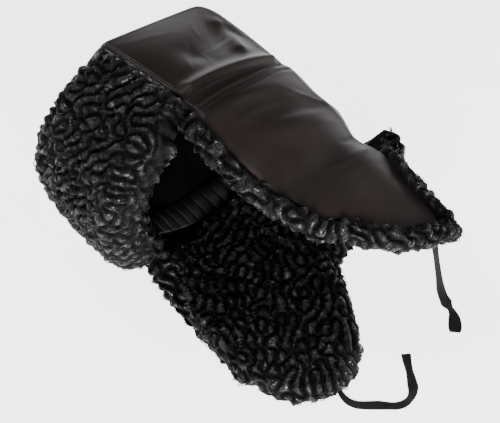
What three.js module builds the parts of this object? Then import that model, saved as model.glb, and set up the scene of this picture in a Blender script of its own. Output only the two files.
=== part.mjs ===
// Karakul hat with ear flaps: a leather crown, a fur visor turned up at the front, and fur-lined
// flaps turned down. It lies on its right side, as it does when it is put down on a table.
// Millimetres and degrees. The hat's own axes are x ahead, y to the wearer's left and z up, with
// z = 0 at the rim. The part's axes have z up from the table and x along the hat's way down.
import * as THREE from 'three';

// Crown: two side panels and a strip that runs over the top from front to back
const crownFrontHeight = 110;
const crownBackHeight = 123;
const seamSpacing = 114;
const topSpacing = 130;
const stripWidth = 150;
const stripTopWidth = 126;
const stripBulge = 49;
const sideBulge = 10;
const frontCornerRadius = 11;
const backCornerRadius = 22;
const leatherThickness = 2;
const foldDepth = 6;

// Flaps: one leather outside for both ears and the neck, with fur inside and round the edge
const seamHeight = 3;
const seamRise = 8;
const seamLift = 3;
const flapPuff = 8;
const puffLength = 17;
const earShare = 0.66;
const earLength = 208;
const trimWidth = 18;
const trimHeight = 6;
const frontTrim = 15;
const farTrim = 6;
const cornerPull = 6;
const cornerReach = 34;
const neckRollWidth = 32;
const neckRollHeight = 29;
const furDepth = 14;
const jointDepth = 0.25;
const jointGap = 1.8;
const lockHeight = 5;
const lockSize = 17;

// Visor
const visorHeight = 86;
const visorDepth = 29;
const visorDrop = 18;
const visorWrap = 12;
const visorEnd = 3;
const visorGap = 0.8;

// Pleated sweatband
const bandHeight = 27;
const bandThickness = 1;
const bandPleats = 26;
const pleatDepth = 1.5;
const bandGap = 1;

// Ties
const tieWidth = 7.5;
const tieThickness = 1.2;
const tieSides = 8;
const tieSquareness = 0.35;

// How it lies
const rollBack = 19;
const crownRaise = 3;
const axisHeight = 86;
const floorSoftness = 6;
const gap = 0.3;

// How far the strip stands out beyond the seams, as shares of stripBulge, along the seam's path
// from the front foot over the top to the back foot
const stripStations = [
  { along: 0.0, ahead: 1.0, up: 0.0 },
  { along: 0.16, ahead: 0.92, up: 0.0 },
  { along: 0.26, ahead: 0.66, up: 0.04 },
  { along: 0.34, ahead: 0.3, up: 0.12 },
  { along: 0.42, ahead: 0.08, up: 0.17 },
  { along: 0.5, ahead: 0.0, up: 0.18 },
  { along: 0.6, ahead: -0.22, up: 0.15 },
  { along: 0.68, ahead: -0.6, up: 0.07 },
  { along: 0.78, ahead: -0.88, up: 0.0 },
  { along: 0.88, ahead: -0.97, up: 0.0 },
  { along: 1.0, ahead: -1.0, up: 0.0 },
];

// Which way the flaps hang, at places along the rim from the left front seam round the back to the
// right front seam: how far they go ahead and to the left for each step down, at the rim and at
// their end
const hangStations = [
  { along: 0.0, ahead: -0.08, left: -0.34, aheadEnd: -0.55, leftEnd: -0.28 },
  { along: 0.16, ahead: -0.1, left: -0.18, aheadEnd: -0.64, leftEnd: -0.36 },
  { along: 0.28, ahead: 0.04, left: -0.1, aheadEnd: -0.52, leftEnd: -0.34 },
  { along: 0.4, ahead: 0.16, left: 0.0, aheadEnd: 0.06, leftEnd: -0.04 },
  { along: 0.56, ahead: 0.08, left: 0.0, aheadEnd: 0.06, leftEnd: 0.0 },
  { along: 0.7, ahead: 0.02, left: 0.0, aheadEnd: 0.17, leftEnd: 0.0 },
  { along: 0.84, ahead: -0.04, left: -0.25, aheadEnd: 0.23, leftEnd: 0.0 },
  { along: 1.0, ahead: -0.2, left: -0.6, aheadEnd: 0.22, leftEnd: 0.0 },
];

// How far down the flaps reach, as a share of earLength, from the front edge to the middle of the
// back
const reachStations = [
  { along: 0.0, reach: 0.77 },
  { along: 0.06, reach: 0.865 },
  { along: 0.15, reach: 0.955 },
  { along: 0.27, reach: 1.005 },
  { along: 0.39, reach: 1.01 },
  { along: 0.49, reach: 0.92 },
  { along: 0.58, reach: 0.71 },
  { along: 0.65, reach: 0.56 },
  { along: 0.74, reach: 0.51 },
  { along: 1.0, reach: 0.51 },
];

// Soft folds of the flaps' leather: ends as shares along the rim and of the ear's length down,
// height as a share of foldDepth and half width as a share of the ear's width
const flapFolds = [
  { along: 0.03, down: 0.1, alongEnd: 0.2, downEnd: 0.2, height: -0.5, halfWidth: 0.07 },
  { along: 0.06, down: 0.3, alongEnd: 0.3, downEnd: 0.22, height: 0.55, halfWidth: 0.08 },
  { along: 0.08, down: 0.45, alongEnd: 0.33, downEnd: 0.38, height: -0.6, halfWidth: 0.09 },
  { along: 0.1, down: 0.66, alongEnd: 0.26, downEnd: 0.5, height: 0.5, halfWidth: 0.08 },
  { along: 0.72, down: 0.4, alongEnd: 0.9, downEnd: 0.3, height: 0.4, halfWidth: 0.09 },
];

// Dents and rolls of the crown's side panels: places as shares from the front seam to the back
// seam and from the rim to the top edge, height as a share of foldDepth
const crownFolds = [
  { across: 0.0, rise: 0.16, acrossEnd: 1.0, riseEnd: 0.14, height: 1.2, halfWidth: 0.075 },
  { across: 0.45, rise: 0.45, acrossEnd: 0.85, riseEnd: 0.62, height: -0.8, halfWidth: 0.14 },
  { across: 0.78, rise: 0.36, acrossEnd: 0.9, riseEnd: 0.7, height: 0.5, halfWidth: 0.07 },
];

// The ties' middle lines, in the part's own frame: the left one hangs from its ear and then lies
// on the table, the right one lies on the table all the way
const tieLeftPoints = [
  [131.9, 96.8, 75.5],
  [134.2, 96.5, 68.5],
  [136.7, 96.2, 61.4],
  [139.1, 95.8, 54.2],
  [141.5, 95.5, 47.1],
  [143.9, 95.1, 39.9],
  [146.3, 94.8, 32.8],
  [148.8, 94.5, 25.6],
  [151.2, 94.1, 18.5],
  [153.8, 93.8, 11.4],
  [158.1, 93.0, 5.3],
  [164.5, 91.8, 1.7],
  [171.8, 90.0, 0.8],
  [178.6, 86.8, 0.8],
  [184.4, 82.0, 0.8],
  [189.7, 76.6, 0.8],
];
const tieRightPoints = [
  [165.1, -37.0, 0.8],
  [171.5, -38.4, 0.8],
  [177.9, -38.2, 0.8],
  [183.8, -35.7, 0.8],
  [188.6, -31.4, 0.8],
  [193.0, -26.4, 0.8],
  [197.2, -21.5, 0.8],
  [201.7, -16.9, 0.8],
  [206.2, -12.3, 0.8],
  [209.4, -6.5, 0.8],
  [210.1, -0.1, 0.8],
  [208.2, 6.0, 0.8],
  [204.3, 11.1, 0.8],
  [198.9, 15.0, 0.8],
  [193.5, 18.6, 0.8],
  [188.0, 22.0, 0.8],
  [182.7, 25.5, 0.8],
  [177.3, 29.5, 0.8],
];

const smooth = (x) => THREE.MathUtils.smoothstep(x, 0, 1);
const mix = THREE.MathUtils.lerp;

// A table's value at a place between its rows, along a smooth line through them
function fromTable(rows, column, along) {
  const last = rows.length - 1;
  let i = rows.findIndex((row) => row.along > along) - 1;
  if (i < 0) i = along >= rows[last].along ? last - 1 : 0;
  const share = (along - rows[i].along) / (rows[i + 1].along - rows[i].along);
  const value = (k) => rows[Math.min(Math.max(k, 0), last)][column];
  const [a, b, c, d] = [value(i - 1), value(i), value(i + 1), value(i + 2)];
  const t = Math.min(Math.max(share, 0), 1);
  return b + 0.5 * t * (c - a + t * (2 * a - 5 * b + 4 * c - d + t * (3 * (b - c) + d - a)));
}

// The height of the folds in a table at a point; both are in shares
function foldHeight(rows, x, y, names) {
  return rows.reduce((sum, row) => {
    const [ax, ay, bx, by] = names.map((name) => row[name]);
    const length2 = (bx - ax) ** 2 + (by - ay) ** 2;
    const t = ((x - ax) * (bx - ax) + (y - ay) * (by - ay)) / length2;
    const nearest = Math.min(Math.max(t, 0), 1);
    const away = Math.hypot(x - mix(ax, bx, nearest), y - mix(ay, by, nearest));
    return sum + foldDepth * row.height * Math.exp(-((away / row.halfWidth) ** 2));
  }, 0);
}

// Laying the hat down: turns a point of the hat onto the table and lifts what would be below it
const lay = new THREE.Matrix4()
  .makeRotationY(THREE.MathUtils.degToRad(crownRaise))
  .multiply(new THREE.Matrix4().makeRotationX(THREE.MathUtils.degToRad(-rollBack)))
  .multiply(
    new THREE.Matrix4().makeBasis(
      new THREE.Vector3(0, -1, 0),
      new THREE.Vector3(0, 0, 1),
      new THREE.Vector3(-1, 0, 0),
    ),
  );

// A ribbon's section is nearly a rectangle: its corners go out further than an ellipse's
const tieCorner = (x) => Math.sign(x) * Math.abs(x) ** tieSquareness;

function settle(point, under = 0) {
  const laid = point.clone().applyMatrix4(lay);
  const above = Math.max(laid.z + axisHeight - under, -floorSoftness);
  const bend = (above + floorSoftness) ** 2 / (4 * floorSoftness);
  laid.z = under + (above < floorSoftness ? bend : above);
  return laid;
}

// The seams between the strip and the side panels, seen from the side
const seamPath = (() => {
  const foot = seamSpacing / 2;
  const top = topSpacing / 2;
  const corners = [
    [foot, 0],
    [top, crownFrontHeight],
    [-top, crownBackHeight],
    [-foot, 0],
  ].map(([x, z]) => new THREE.Vector2(x, z));
  const path = new THREE.Path([corners[0]]);
  [frontCornerRadius, backCornerRadius].forEach((radius, k) => {
    const [before, corner, after] = corners.slice(k, k + 3);
    const start = corner.clone().add(before.clone().sub(corner).setLength(radius));
    const end = corner.clone().add(after.clone().sub(corner).setLength(radius));
    path.lineTo(start.x, start.y);
    path.quadraticCurveTo(corner.x, corner.y, end.x, end.y);
  });
  path.lineTo(corners[3].x, corners[3].y);
  return path;
})();
const seamLength = seamPath.getLength();

// A point of the seam; beyond its feet it goes straight on
function seamAt(along) {
  const inside = Math.min(Math.max(along, 0), 1);
  const beyond = (along - inside) * seamLength;
  return seamPath.getPointAt(inside).addScaledVector(seamPath.getTangentAt(inside), beyond);
}

const frontCorner = crownFrontHeight / seamLength;
const backCorner = 1 - crownBackHeight / seamLength;

const allowanceTop = seamHeight + seamRise;
const seamHalfWidth = (z) =>
  mix(stripWidth / 2, stripTopWidth / 2, Math.max(z / crownFrontHeight, 0) ** 1.5);

// The strip's outside: along from 0 at the front foot to 1 at the back foot, across from -1 at the
// right seam to 1 at the left seam
function stripPoint(along, across) {
  const seam = seamAt(along);
  const bulge = stripBulge * (1 - across * across);
  return new THREE.Vector3(
    seam.x + bulge * fromTable(stripStations, 'ahead', along),
    seamHalfWidth(seam.y) * across,
    seam.y + bulge * fromTable(stripStations, 'up', along),
  );
}

// A side panel's outside: across from 0 at the front seam to 1 at the back seam, rise from 0 at
// the rim to 1 at the top edge, side 1 on the left and -1 on the right
function sidePoint(across, rise, side) {
  const front = seamAt(frontCorner * rise);
  const back = seamAt(1 - (1 - backCorner) * rise);
  const top = seamAt(mix(frontCorner, backCorner, across));
  const foot = new THREE.Vector2(mix(seamSpacing / 2, -seamSpacing / 2, across), 0);
  const [frontTop, backTop] = [seamAt(frontCorner), seamAt(backCorner)];
  const blend = (axis) => {
    const ruledAcross = mix(front[axis], back[axis], across);
    const ruledUp = mix(foot[axis], top[axis], rise);
    const footCorner = axis === 'x' ? foot.x : 0;
    return ruledAcross + ruledUp - mix(footCorner, mix(frontTop[axis], backTop[axis], across), rise);
  };
  const z = blend('y');
  const bulge = 4 * sideBulge * across * (1 - across) * (1 - Math.max(rise, 0) ** 2.5);
  const clear = smooth((z - allowanceTop) / (2 * seamHeight));
  const inside = Math.min(1, 12 * across * (1 - across)) * Math.min(1, 6 * (1 - rise)) * clear;
  const fold = foldHeight(crownFolds, across, rise, ['across', 'rise', 'acrossEnd', 'riseEnd']);
  return new THREE.Vector3(blend('x'), side * (seamHalfWidth(z) + bulge + fold * inside), z);
}

// The rim, from the left front seam round the back to the right front seam, and on round the front
const rimSamples = 24;
const shares = (n) => [...Array(n).keys()].map((k) => k / n);
const rimPoints = [
  ...shares(rimSamples).map((s) => [mix(0.5, -0.5, s) * seamSpacing, 1, 4 * s * (1 - s), 0]),
  ...shares(rimSamples).map((s) => [-seamSpacing / 2, 1 - 2 * s, 0, -4 * s * (1 - s)]),
  ...shares(rimSamples).map((s) => [mix(-0.5, 0.5, s) * seamSpacing, -1, 4 * s * (1 - s), 0]),
  ...shares(rimSamples).map((s) => [seamSpacing / 2, 2 * s - 1, 0, 4 * s * (1 - s)]),
].map(
  ([x, side, sideShare, stripShare]) =>
    new THREE.Vector3(
      x + stripShare * stripBulge,
      side * (stripWidth / 2 + sideShare * sideBulge),
      0,
    ),
);
const rim = new THREE.CatmullRomCurve3(rimPoints, true, 'centripetal');
rim.arcLengthDivisions = 800;
const rimLength = rim.getLength();
const backRimLength = (() => {
  const behind = new THREE.CatmullRomCurve3(rimPoints.slice(0, 3 * rimSamples + 1));
  behind.arcLengthDivisions = 800;
  return behind.getLength();
})();
const up = new THREE.Vector3(0, 0, 1);

function rimAt(distance) {
  const share = (((distance / rimLength) % 1) + 1) % 1;
  return { point: rim.getPointAt(share), out: rim.getTangentAt(share).cross(up) };
}

// The flaps' outside: distance along the rim, and down from it
const hangSteps = 16;
function flapPoint(distance, down) {
  const along = distance / backRimLength;
  const { point, out } = rimAt(distance);
  if (down <= 0) return settle(point.addScaledVector(out, seamLift).addScaledVector(up, -down));
  const length = flapLength(distance);
  const hang = new THREE.Vector3();
  for (let k = 0; k < hangSteps; k++) {
    const share = ((k + 0.5) / hangSteps) * (down / length);
    hang.set(
      mix(fromTable(hangStations, 'ahead', along), fromTable(hangStations, 'aheadEnd', along), share),
      mix(fromTable(hangStations, 'left', along), fromTable(hangStations, 'leftEnd', along), share),
      -1,
    );
    point.addScaledVector(hang.normalize(), down / hangSteps);
  }
  const fold = foldHeight(flapFolds, along, down / earLength, ['along', 'down', 'alongEnd', 'downEnd']);
  const puff = seamLift + flapPuff * earShareAt(distance) * smooth(down / puffLength);
  return settle(point.addScaledVector(out, puff + fold * smooth(down / puffLength)));
}

const fromFrontEdge = (distance) => Math.min(distance, backRimLength - distance);
const earWidth = () => (earShare * backRimLength) / 2;

// How far down the flaps reach: two round-ended ears and the neck piece between them
function flapLength(distance) {
  const along = (2 * fromFrontEdge(distance)) / backRimLength;
  const corner = Math.max(-fromFrontEdge(distance) / frontTrim, 0);
  return earLength * fromTable(reachStations, 'reach', along) - frontTrim * corner ** 2;
}

const intoNeck = (distance) => Math.max(fromFrontEdge(distance) - earWidth(), 0);
const neckShare = (distance) => smooth(intoNeck(distance) / (0.2 * earWidth()));
const round = (e) => Math.sqrt(Math.max(1 - e * e, 0));
const earShareAt = (distance) => 1 - smooth(fromFrontEdge(distance) / (0.9 * earWidth()));
const edgeWidth = (distance) => mix(trimWidth, neckRollWidth, neckShare(distance));
const seamUp = (distance) => seamHeight + seamRise * smooth(fromFrontEdge(distance) / earWidth());

// How far down the leather reaches: an even width inside the fur's edge
function leatherLength(distance) {
  const width = edgeWidth(distance);
  let least = Infinity;
  for (let k = -6; k <= 6; k++) {
    const turn = (Math.PI * k) / 12;
    const at = Math.min(Math.max(distance + width * Math.sin(turn), 0), backRimLength);
    least = Math.min(least, flapLength(at) - width * Math.cos(turn));
  }
  return least;
}

// Curls of the fur: rounded ridges that wind, from 0 between them to 1 on them
function curls(x, y) {
  const [a, b] = [(Math.PI * x) / lockSize, (Math.PI * y) / lockSize];
  const bent = Math.sin(a + 1.3 * Math.sin(0.7 * b + 0.4)) * Math.sin(b + 1.4 * Math.sin(0.8 * a));
  return Math.sqrt(Math.abs(bent));
}

// A closed piece between two faces over the same grid. at(column, row) gives a point and the way
// out of the surface, outer and inner how far the faces lie along it. A ring has no side edges.
function piece(name, material, { columns, rows, at, outer, inner, ring = false }) {
  const [nc, nr] = [columns.length, rows.length];
  const position = [];
  for (const face of [outer, inner])
    for (const column of columns)
      for (const row of rows) {
        const { point, out } = at(column, row);
        const placed = point.clone().addScaledVector(out, face(column, row));
        position.push(placed.x, placed.y, Math.max(placed.z, 0));
      }
  const index = [];
  const vertex = (face, c, r) => face * nc * nr + (c % nc) * nr + r;
  const quad = (a, b, c, d) => index.push(a, b, c, a, c, d);
  const spans = ring ? nc : nc - 1;
  for (let c = 0; c < spans; c++) {
    for (let r = 0; r < nr - 1; r++) {
      quad(vertex(0, c, r), vertex(0, c + 1, r), vertex(0, c + 1, r + 1), vertex(0, c, r + 1));
      quad(vertex(1, c, r), vertex(1, c, r + 1), vertex(1, c + 1, r + 1), vertex(1, c + 1, r));
    }
    quad(vertex(0, c, 0), vertex(1, c, 0), vertex(1, c + 1, 0), vertex(0, c + 1, 0));
    const end = nr - 1;
    quad(vertex(0, c, end), vertex(0, c + 1, end), vertex(1, c + 1, end), vertex(1, c, end));
  }
  if (!ring)
    for (let r = 0; r < nr - 1; r++) {
      quad(vertex(0, 0, r), vertex(0, 0, r + 1), vertex(1, 0, r + 1), vertex(1, 0, r));
      const end = nc - 1;
      quad(vertex(0, end, r), vertex(1, end, r), vertex(1, end, r + 1), vertex(0, end, r + 1));
    }
  return mesh(name, material, position, index);
}

function mesh(name, material, position, index) {
  const geometry = new THREE.BufferGeometry();
  geometry.setAttribute('position', new THREE.Float32BufferAttribute(position, 3));
  geometry.setIndex(facingOut(position, index));
  geometry.computeVertexNormals();
  const made = new THREE.Mesh(geometry, material);
  made.name = name;
  return made;
}

// The same triangles, turned round if they enclose their volume inside out
function facingOut(position, index) {
  const corner = (i) => new THREE.Vector3().fromArray(position, 3 * i);
  let volume = 0;
  for (let i = 0; i < index.length; i += 3)
    volume += corner(index[i]).dot(corner(index[i + 1]).cross(corner(index[i + 2])));
  if (volume > 0) return index;
  return index.map((_, i) => index[i - (i % 3) + ((3 - (i % 3)) % 3)]);
}

// A surface's point and way out, from the surface as a function of two places in millimetres or
// shares; the steps are those for the slopes
function sampler(surface, stepA, stepB, turn = 1) {
  return (a, b) => {
    const alongA = surface(a + stepA, b).sub(surface(a - stepA, b));
    const alongB = surface(a, b + stepB).sub(surface(a, b - stepB));
    return { point: surface(a, b), out: alongA.cross(alongB).normalize().multiplyScalar(turn) };
  };
}

const spread = (n, from = 0, to = 1) => [...Array(n + 1).keys()].map((k) => mix(from, to, k / n));

// The crown lies on the table, with the flaps' seam allowance under it near the rim
const underCrown = (z) => (seamLift + gap) * (1 - smooth((z - allowanceTop) / (2 * seamHeight)));
const laidStrip = (along, across) => {
  const point = stripPoint(along, across);
  return settle(point, underCrown(point.z));
};
const laidSide = (side) => (across, rise) => {
  const point = sidePoint(across, rise, side);
  return settle(point, underCrown(point.z));
};

const slope = 0.004;
const stripAt = sampler(laidStrip, slope, slope, -1);

// Where the panels meet, both use the way out half way between their own
function seamOut(along, side) {
  const strip = laidStrip;
  const alongSeam = strip(along + slope, side).sub(strip(along - slope, side));
  const intoStrip = strip(along, side * (1 - slope)).sub(strip(along, side));
  const stripOut = alongSeam.clone().cross(intoStrip).multiplyScalar(side).normalize();
  const [across, rise] = seamPlace(along);
  const panel = laidSide(side);
  const inward = [mix(across, 0.5, slope), mix(rise, 0.5, slope)];
  const intoPanel = panel(...inward).sub(panel(across, rise));
  const panelOut = alongSeam.clone().cross(intoPanel).multiplyScalar(-side).normalize();
  return stripOut.add(panelOut).normalize();
}

// The side panel's place at a place along the seam
function seamPlace(along) {
  if (along <= frontCorner) return [0, along / frontCorner];
  if (along >= backCorner) return [1, (1 - along) / (1 - backCorner)];
  return [(along - frontCorner) / (backCorner - frontCorner), 1];
}

function seamAlong(across, rise) {
  if (across <= 0) return frontCorner * rise;
  if (across >= 1) return 1 - (1 - backCorner) * rise;
  return mix(frontCorner, backCorner, across);
}

const leather = new THREE.MeshStandardMaterial({ color: 0x2b2423, roughness: 0.38, metalness: 0 });
const fur = new THREE.MeshStandardMaterial({ color: 0x0d0d0e, roughness: 0.6, metalness: 0 });
const lining = new THREE.MeshStandardMaterial({ color: 0x2a2a2c, roughness: 0.55, metalness: 0 });
const ribbon = new THREE.MeshStandardMaterial({ color: 0x26272a, roughness: 0.85, metalness: 0 });

const panelColumns = 12;
const panelRows = 10;
const stripRows = 12;

function makeSidePanel(name, side) {
  const panelAt = sampler(laidSide(side), slope, slope, side);
  const edge = gap / seamSpacing;
  return piece(name, leather, {
    columns: spread(panelColumns),
    rows: spread(panelRows),
    at: (across, rise) => {
      const onSeam = across === 0 || across === 1 || rise === 1;
      const [a, r] = [mix(edge, 1 - edge, across), mix(0, 1 - edge, rise)];
      const placed = panelAt(a, r);
      if (onSeam) placed.out = seamOut(seamAlong(across, rise), side);
      return placed;
    },
    outer: () => 0,
    inner: () => -leatherThickness,
  });
}

function makeStrip() {
  return piece('crown_strip', leather, {
    columns: [
      ...spread(panelRows, 0, frontCorner),
      ...spread(panelColumns, frontCorner, backCorner).slice(1),
      ...spread(panelRows, backCorner, 1).slice(1),
    ],
    rows: spread(stripRows, -1, 1),
    at: (along, across) => {
      const placed = stripAt(along, across);
      if (Math.abs(across) === 1) placed.out = seamOut(along, across);
      return placed;
    },
    outer: () => 0,
    inner: () => -leatherThickness,
  });
}

const flapAt = sampler(flapPoint, 0.5, 0.5, -1);

// The flaps' pieces share their places along the rim and down, so that they lie closely
const insideRows = spread(11);
const edgeRows = [0.35, 0.68, 0.9, 1];
const earColumns = () => spread(13, 0, earWidth());
const neckColumns = () => {
  const [start, bend] = [earWidth() + jointGap, earWidth() + neckRollHeight / 4];
  return [start, ...spread(13, bend, backRimLength - bend), backRimLength - start];
};
const earEdges = [1, 0.85, 0.5];
const otherSide = (columns) => columns.map((distance) => backRimLength - distance).reverse();
const underRim = 2;
const insideDown = (distance, share) => mix(underRim, leatherLength(distance), share);

// The flaps' front corners are round: near them the pieces' places move in from the front edge
function placed(distance, row, down) {
  const near = Math.max(1 - fromFrontEdge(distance) / cornerReach, 0);
  const inward = cornerPull * near * smooth((row - 0.55) / 0.5);
  return flapAt(distance < backRimLength / 2 ? distance + inward : distance - inward, down);
}

function makeFlapLeather() {
  const seamRows = [-1, -0.4];
  const down = (distance, row) => (row < 0 ? seamUp(distance) * row : insideDown(distance, row));
  return piece('flap_leather', leather, {
    columns: [
      ...earColumns(),
      ...neckColumns().slice(1, -1),
      ...otherSide(earColumns()),
    ],
    rows: [...seamRows, ...insideRows],
    at: (distance, row) => placed(distance, row, down(distance, row)),
    outer: () => 0,
    inner: () => -leatherThickness,
  });
}

// A stretch of the flaps' fur. It lies under the leather and stands proud round its edge.
function makeFlapFur(name, columns, trimAhead = 1) {
  const down = (distance, row) =>
    row <= 1
      ? insideDown(distance, row)
      : mix(leatherLength(distance), flapLength(distance), row - 1);
  const edge = (distance, row) =>
    Math.min(Math.hypot(Math.max(row - 1, 0), Math.max(-fromFrontEdge(distance) / trimAhead, 0)), 1);
  const cap = (e) => Math.max(Math.sqrt(1 - e * e), 0.15);
  const lump = (distance, row) => lockHeight * curls(distance, down(distance, row));
  const fromEnd = (distance) => 1 - Math.min(intoNeck(distance) / neckRollWidth, 1);
  const rolled = (distance, row) => cap(mix(edge(distance, row), 2 * (row - 1) - 1, neckShare(distance)));
  const high = (distance) => mix(trimHeight, neckRollHeight, round(fromEnd(distance)));
  const middle = (distance) => (high(distance) - furDepth) / 2;
  return piece(name, fur, {
    columns,
    rows: [...insideRows, ...edgeRows.map((share) => 1 + share)],
    at: (distance, row) => placed(distance, row, down(distance, row)),
    outer: (distance, row) => {
      const e = edge(distance, row);
      if (e <= 0) return -leatherThickness - gap;
      return mix(middle(distance), high(distance) + 0.5 * lump(distance, row), rolled(distance, row));
    },
    inner: (distance, row) => {
      const fromJoint = Math.abs(fromFrontEdge(distance) - earWidth());
      const thin = mix(jointDepth, 1, smooth(fromJoint / (1.5 * furDepth)));
      const deep = leatherThickness + gap + thin * (furDepth + lump(distance, row));
      const start = mix(0.55, 1, smooth(down(distance, row) / furDepth));
      return mix(middle(distance), -deep * start, cap(edge(distance, row)));
    },
  });
}

function makeVisor() {
  const visorPoint = (across, height) => {
    if (height >= 0) return laidStrip((height / crownFrontHeight) * frontCorner, across);
    const point = stripPoint(0, across);
    point.z = height;
    return settle(point, underCrown(0));
  };
  const visorAt = sampler(visorPoint, slope, 0.5, 1);
  const end = 1 - visorEnd / (stripWidth / 2);
  const fade = (across) =>
    across > 0 ? smooth((across - 0.66) / 0.18) : smooth((-across - 0.8) / 0.13);
  const drop = (across) => visorDrop * (1 - 0.5 * across) * (1 - fade(across)) + gap;
  const height = (across, row) => (row < 0 ? row * drop(across) - gap : row * visorHeight);
  const outside = (across, row) => {
    const upper = Math.max((row - 0.82) / 0.18, 0);
    const lower = row < 0 ? -row * smooth(drop(across) / visorDrop) : 0;
    const aside = Math.max((Math.abs(across) / end - 0.92) / 0.08, 0);
    return round(Math.hypot(upper, aside, lower));
  };
  return piece('visor_fur', fur, {
    columns: [-1, -0.97, ...spread(20, -0.92, 0.92), 0.97, 1].map((share) => share * end),
    rows: [-1, -0.85, -0.5, 0, ...spread(9).slice(1)],
    at: (across, row) => visorAt(across, height(across, row)),
    outer: (across, row) => {
      const lump = lockHeight * curls((across * stripWidth) / 1.6, height(across, row));
      return visorGap + 1 + (visorDepth + lump) * outside(across, row);
    },
    inner: (across, row) =>
      row < 0 ? -visorWrap * round(row) * smooth(drop(across) / visorDrop) : visorGap,
  });
}

function makeSweatband() {
  const columns = spread(3 * bandPleats, 0, rimLength).slice(0, -1);
  const bandPoint = (distance, height) => {
    const { point } = rimAt(distance);
    point.z = height;
    return settle(point, underCrown(0));
  };
  const bandAt = sampler(bandPoint, 0.5, 0.5, 1);
  const inset = leatherThickness + bandGap;
  return piece('sweatband', lining, {
    columns,
    rows: [2 * gap, bandHeight],
    at: bandAt,
    outer: (_, height) => -inset - (height > bandHeight / 2 ? 1 : 0),
    inner: (distance) => {
      const pleat = Math.round((3 * bandPleats * distance) / rimLength) % 3;
      return -inset - 1 - bandThickness - pleatDepth * (pleat / 2);
    },
    ring: true,
  });
}

// A tie: a flat ribbon along a smooth line through its points
function makeTie(name, points) {
  const path = new THREE.CatmullRomCurve3(points.map((point) => new THREE.Vector3(...point)));
  const steps = 2 * (points.length - 1);
  const position = [];
  const index = [];
  for (let i = 0; i <= steps; i++) {
    const along = path.getTangentAt(i / steps);
    const across = up.clone().cross(along).normalize();
    const facing = along.clone().cross(across);
    for (let k = 0; k < tieSides; k++) {
      const turn = (2 * Math.PI * (k + 0.5)) / tieSides;
      const point = path.getPointAt(i / steps);
      point.addScaledVector(across, (tieWidth / 2) * tieCorner(Math.cos(turn)));
      point.addScaledVector(facing, (tieThickness / 2) * tieCorner(Math.sin(turn)));
      position.push(...point.toArray());
      const next = (k + 1) % tieSides;
      const [a, b] = [i * tieSides + k, i * tieSides + next];
      if (i < steps) index.push(a, b, b + tieSides, a, b + tieSides, a + tieSides);
    }
  }
  const last = steps * tieSides;
  for (let k = 1; k < tieSides - 1; k++) index.push(0, k + 1, k, last, last + k, last + k + 1);
  return mesh(name, ribbon, position, index);
}

const hat = new THREE.Group();
const furColumns = (ahead) => [
  ...earEdges.map((share) => -share * ahead),
  ...earColumns().slice(0, -1),
  earWidth() - jointGap / 2,
];
hat.add(makeSidePanel('crown_left', 1), makeSidePanel('crown_right', -1), makeStrip());
hat.add(makeFlapLeather());
hat.add(makeFlapFur('ear_left_fur', furColumns(frontTrim), frontTrim));
hat.add(makeFlapFur('neck_fur', neckColumns()));
hat.add(makeFlapFur('ear_right_fur', otherSide(furColumns(farTrim)), farTrim));
hat.add(makeVisor(), makeSweatband());

// The origin is on the table under the middle of the hat without its ties
const middle = new THREE.Box3().setFromObject(hat).getCenter(new THREE.Vector3());
hat.children.forEach((child) => child.geometry.translate(-middle.x, -middle.y, 0));
hat.add(makeTie('tie_left', tieLeftPoints), makeTie('tie_right', tieRightPoints));

export default hat;
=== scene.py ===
import math
import bpy
import numpy as np
from mathutils import Matrix, Vector


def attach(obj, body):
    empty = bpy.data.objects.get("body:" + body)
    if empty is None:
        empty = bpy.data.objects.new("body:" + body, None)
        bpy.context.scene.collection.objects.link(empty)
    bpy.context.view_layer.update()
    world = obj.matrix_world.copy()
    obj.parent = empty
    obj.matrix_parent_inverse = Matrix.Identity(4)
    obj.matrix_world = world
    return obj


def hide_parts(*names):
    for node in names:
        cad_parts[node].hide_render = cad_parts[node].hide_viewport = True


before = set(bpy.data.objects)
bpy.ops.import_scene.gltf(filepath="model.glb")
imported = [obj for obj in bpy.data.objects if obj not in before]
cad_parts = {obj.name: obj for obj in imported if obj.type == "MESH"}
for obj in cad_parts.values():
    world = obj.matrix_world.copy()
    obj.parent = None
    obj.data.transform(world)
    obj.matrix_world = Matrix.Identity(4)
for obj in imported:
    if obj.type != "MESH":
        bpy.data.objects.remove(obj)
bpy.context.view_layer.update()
print("frame loaded")

# Lengths are millimetres and angles degrees. The hat's own axes are x ahead, y to its left and z up
# from the rim, and settle() puts a point of the hat where it is on the table.
mm = 0.001

# Solved from four marks in the photo by a scratch script, which also gave lie["middle"]
camera = {
    "azimuth": 48.9, "elevation": 53.7, "distance": 1100, "target": (23.016, 6.813, 80),
    "focalPixels": 1297, "centrePixels": (266.7, 203.0), "picture": (500, 423),
}


def makeCamera():
    a, e = math.radians(camera["azimuth"]), math.radians(camera["elevation"])
    back = Vector((math.sin(a) * math.cos(e), -math.cos(a) * math.cos(e), math.sin(e)))
    data = bpy.data.cameras.new("camera")
    wide, high = camera["picture"]
    data.sensor_width = 36
    data.lens = camera["focalPixels"] / wide * data.sensor_width
    data.shift_x = (wide / 2 - camera["centrePixels"][0]) / wide
    data.shift_y = (camera["centrePixels"][1] - high / 2) / wide
    data.clip_end = 20
    made = bpy.data.objects.new("camera", data)
    bpy.context.scene.collection.objects.link(made)
    made.location = (Vector(camera["target"]) + back * camera["distance"]) * mm
    made.rotation_mode = "QUATERNION"
    made.rotation_quaternion = (-back).to_track_quat("-Z", "Y")
    bpy.context.scene.camera = made


makeCamera()


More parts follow.
